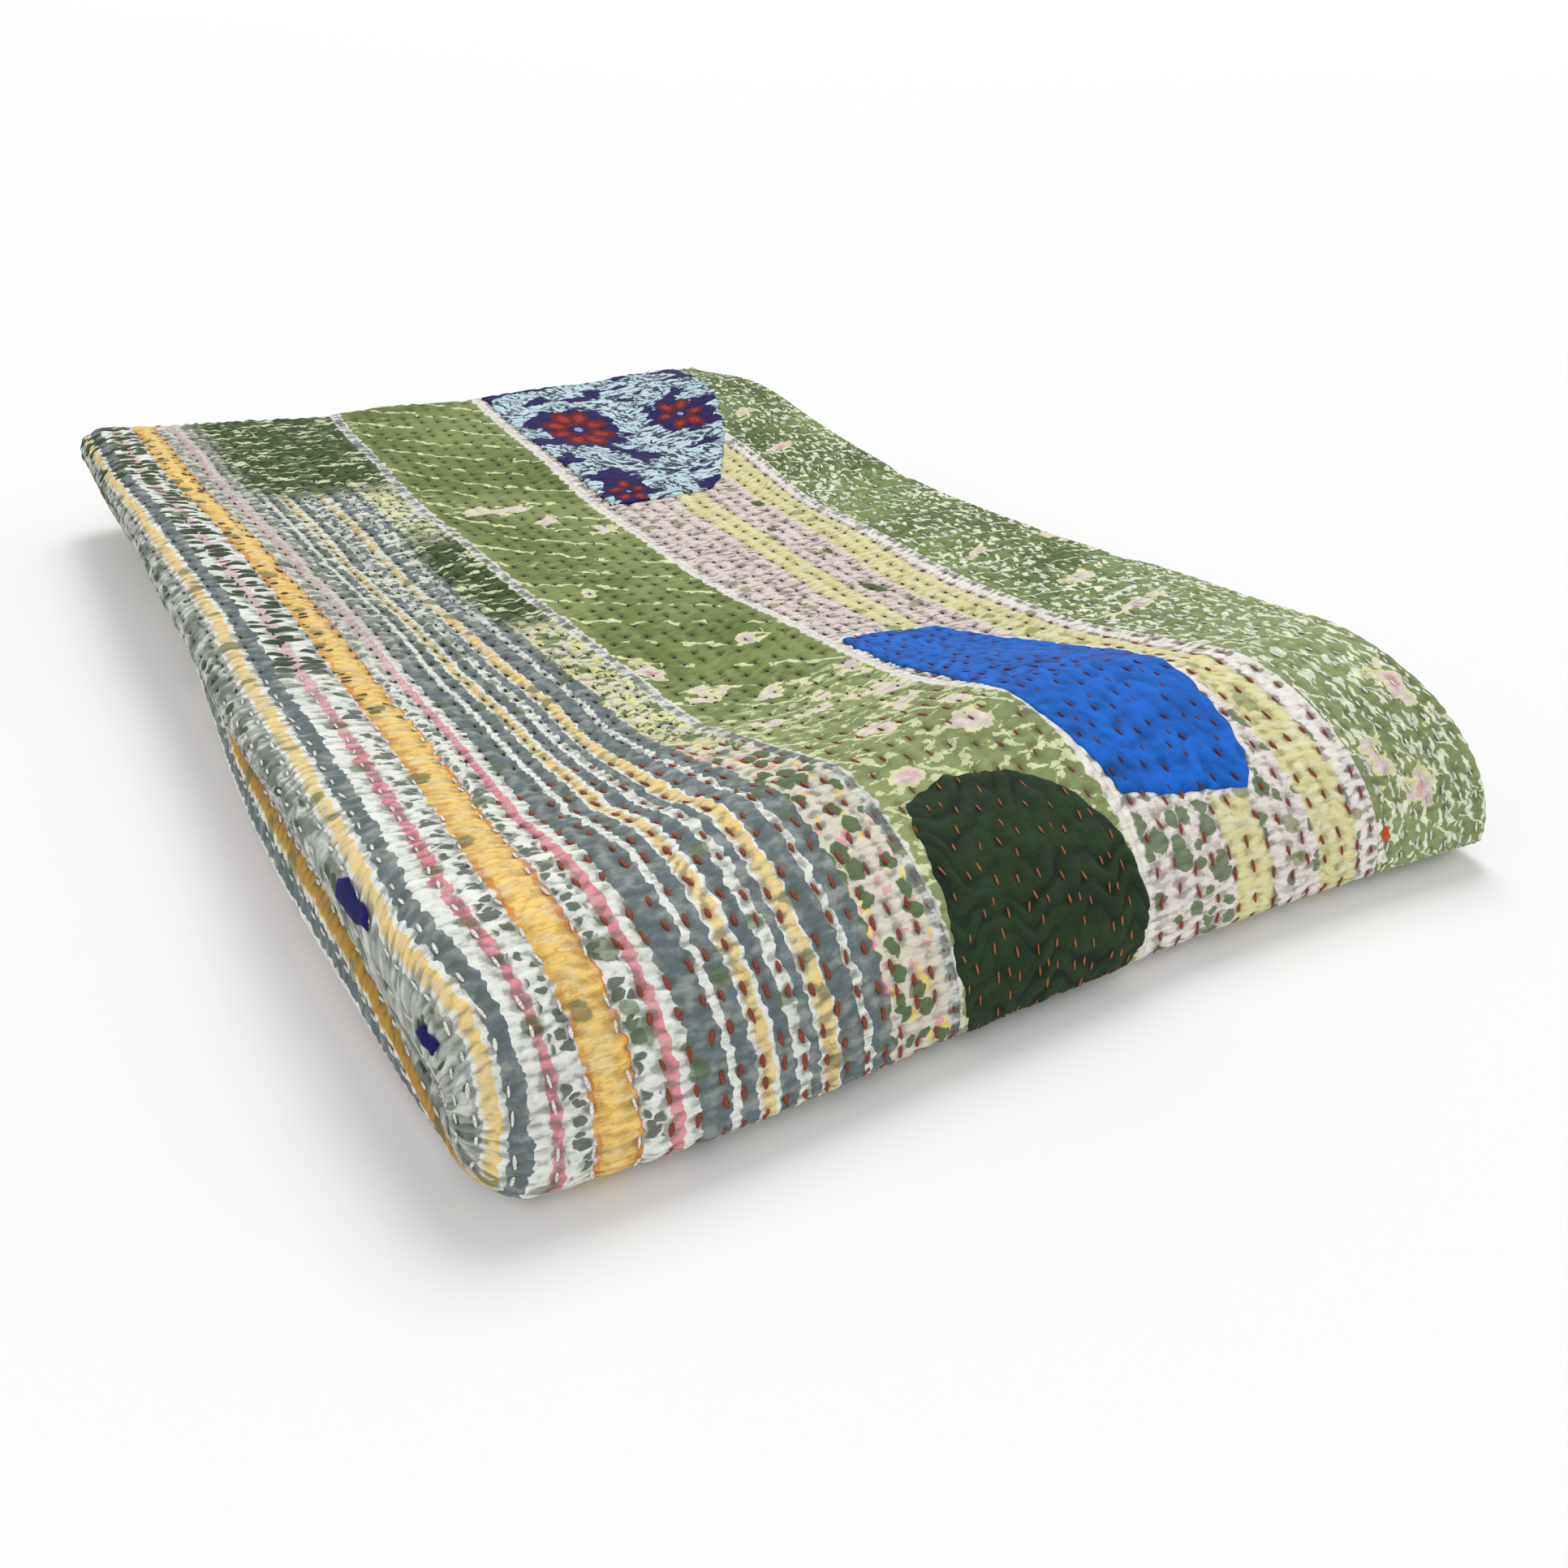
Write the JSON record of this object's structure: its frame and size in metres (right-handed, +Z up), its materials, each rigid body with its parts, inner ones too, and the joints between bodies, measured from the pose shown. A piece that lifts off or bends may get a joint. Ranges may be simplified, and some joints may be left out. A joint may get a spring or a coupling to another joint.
{
  "type": "folded kantha quilt",
  "caption": "Patchwork kantha quilt of layered cotton in running stitch, folded into a flat soft stack, with a striped border and sewn-on patches.",
  "frame": {"origin": "middle of the folded quilt's footprint, on the surface it lies on", "axes": "+X from the outer left fold to the right side, +Y from the front fold to the open ends, +Z up"},
  "size_m": [0.465, 0.7174, 0.0765],
  "materials": {
    "quilt_cloth": "worn printed cotton in running stitch, striped white, grey-blue, yellow and pink beside sage green and pale pink bands",
    "floral_cloth": "light blue cotton with navy and red flowers",
    "blue_cloth": "plain royal blue cotton",
    "dark_green_cloth": "plain dark green cotton",
    "navy_cloth": "plain navy cotton"
  },
  "bodies": {
    "root": {"quilt": "quilt_cloth", "patch_floral": "floral_cloth", "patch_blue": "blue_cloth", "patch_dark_green": "dark_green_cloth", "scrap_navy_side": "navy_cloth", "scrap_navy_corner": "navy_cloth"}
  },
  "joints": []
}
